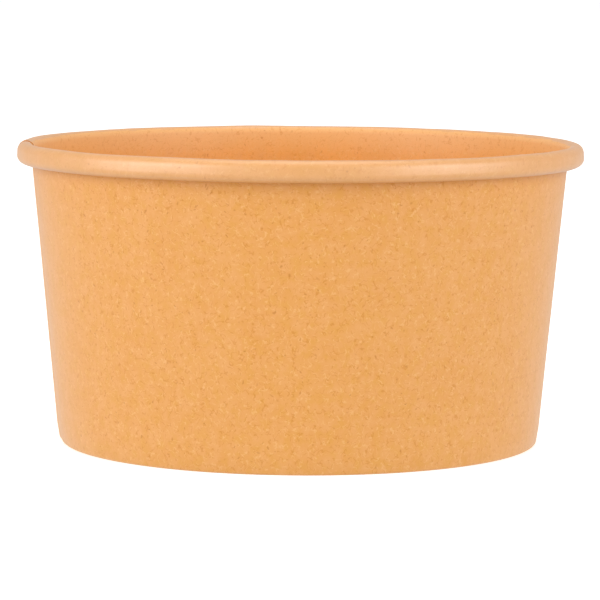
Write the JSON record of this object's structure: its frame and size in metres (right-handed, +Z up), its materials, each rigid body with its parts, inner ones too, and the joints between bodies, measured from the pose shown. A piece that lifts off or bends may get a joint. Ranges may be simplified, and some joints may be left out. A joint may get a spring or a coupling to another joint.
{
  "type": "paper ice cream tub",
  "caption": "Open round paperboard tub with a gently tapered wall, an outward rolled rim for a lid, and a recessed base sealed in by a folded hem.",
  "frame": {"origin": "centre of the foot, on the surface that the tub stands on", "axes": "+Z up along the tub's axis, out of its mouth; the lapped side seam runs up the -X side"},
  "size_m": [0.115, 0.115, 0.061],
  "materials": {
    "wall_board": "uncoated kraft outside, satin food-safe coating inside",
    "base_board": "kraft board, satin food-safe coating above"
  },
  "bodies": {
    "root": {"sidewall": "wall_board", "base": "base_board"}
  },
  "joints": []
}
